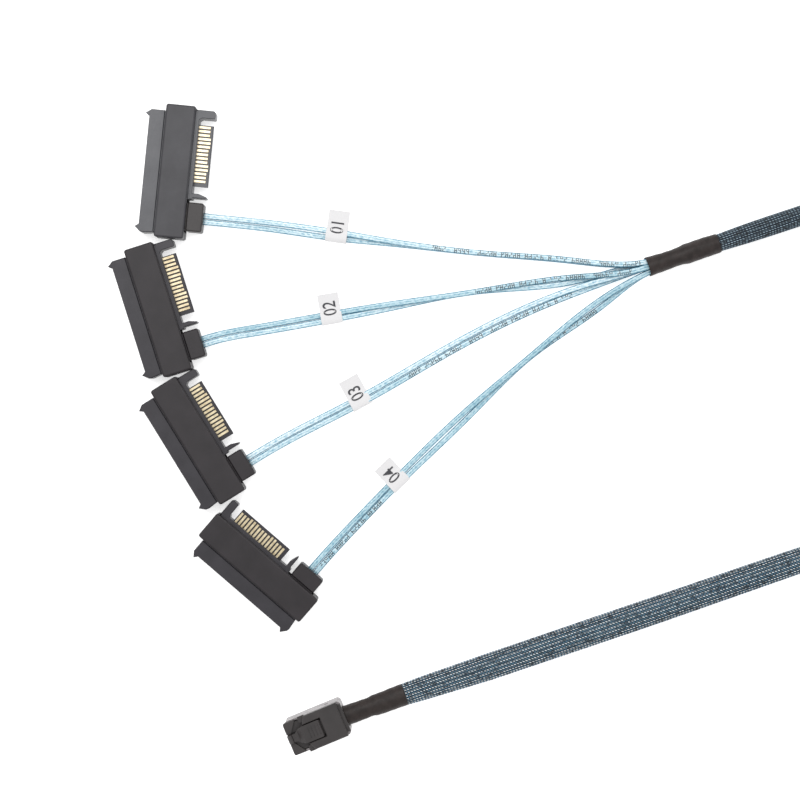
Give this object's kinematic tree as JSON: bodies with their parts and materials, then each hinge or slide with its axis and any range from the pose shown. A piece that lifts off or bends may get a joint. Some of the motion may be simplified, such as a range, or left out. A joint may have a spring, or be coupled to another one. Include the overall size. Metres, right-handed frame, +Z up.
{
  "type": "mini sas breakout cable",
  "caption": "Breakout cable lying flat: a square host plug with a press latch, a braided trunk with its spare length coiled, and flat ribbon leads to long drive connectors.",
  "frame": {"origin": "on the table, under the middle of the outline of the rigid pieces: the drive connectors and the host plug", "axes": "+Z up from the table, +Y towards the first drive connector, +X towards the breakout and the coil"},
  "size_m": [0.3564, 0.2131, 0.0128],
  "materials": {
    "cover": "fine matte moulding",
    "moulding": "matte moulding, a little lighter than the covers",
    "contact": "pale gold plate",
    "ribbon": "translucent light blue film over bright cores",
    "paper": "white paper",
    "shrink": "matte heat-shrink",
    "braid": "open braid of black monofilament over blue ribbons",
    "shell": "satin metal",
    "board": "green laminate",
    "spring": "bright spring steel",
    "strap": "black hook-and-loop strap"
  },
  "bodies": {
    "cable": {"p1_receptacle_housing": "moulding", "p1_cover_top": "cover", "p1_cover_bottom": "cover", "p1_power_contacts": "contact", "p1_drive_contacts": "contact", "p1_strain_relief": "cover", "p1_ribbon_a": "ribbon", "p1_ribbon_b": "ribbon", "p1_label": "paper", "p2_receptacle_housing": "moulding", "p2_cover_top": "cover", "p2_cover_bottom": "cover", "p2_power_contacts": "contact", "p2_drive_contacts": "contact", "p2_strain_relief": "cover", "p2_ribbon_a": "ribbon", "p2_ribbon_b": "ribbon", "p2_label": "paper", "p3_receptacle_housing": "moulding", "p3_cover_top": "cover", "p3_cover_bottom": "cover", "p3_power_contacts": "contact", "p3_drive_contacts": "contact", "p3_strain_relief": "cover", "p3_ribbon_a": "ribbon", "p3_ribbon_b": "ribbon", "p3_label": "paper", "p4_receptacle_housing": "moulding", "p4_cover_top": "cover", "p4_cover_bottom": "cover", "p4_power_contacts": "contact", "p4_drive_contacts": "contact", "p4_strain_relief": "cover", "p4_ribbon_a": "ribbon", "p4_ribbon_b": "ribbon", "p4_label": "paper", "breakout_heat_shrink": "shrink", "plug_heat_shrink": "shrink", "trunk_breakout_side": "braid", "trunk_plug_side": "braid", "trunk_coil": "braid", "coil_tie": "strap", "plug_shell": "shell", "plug_cover": "cover", "plug_mating_shroud": "cover", "plug_paddle_card_lower": "board", "plug_paddle_card_upper": "board", "plug_inner_mould": "moulding", "latch_pin": "shell", "latch_spring": "spring"},
    "latch": {"latch_lever": "cover"}
  },
  "joints": [
    {"name": "latch_press", "type": "hinge", "parent": "cable", "child": "latch", "pos_m": [0.03227, -0.0965, 0.00865], "axis": [0.3827, -0.9239, 0], "range_deg": [0, 4], "stiffness_Nm_per_rad": 0.3}
  ]
}
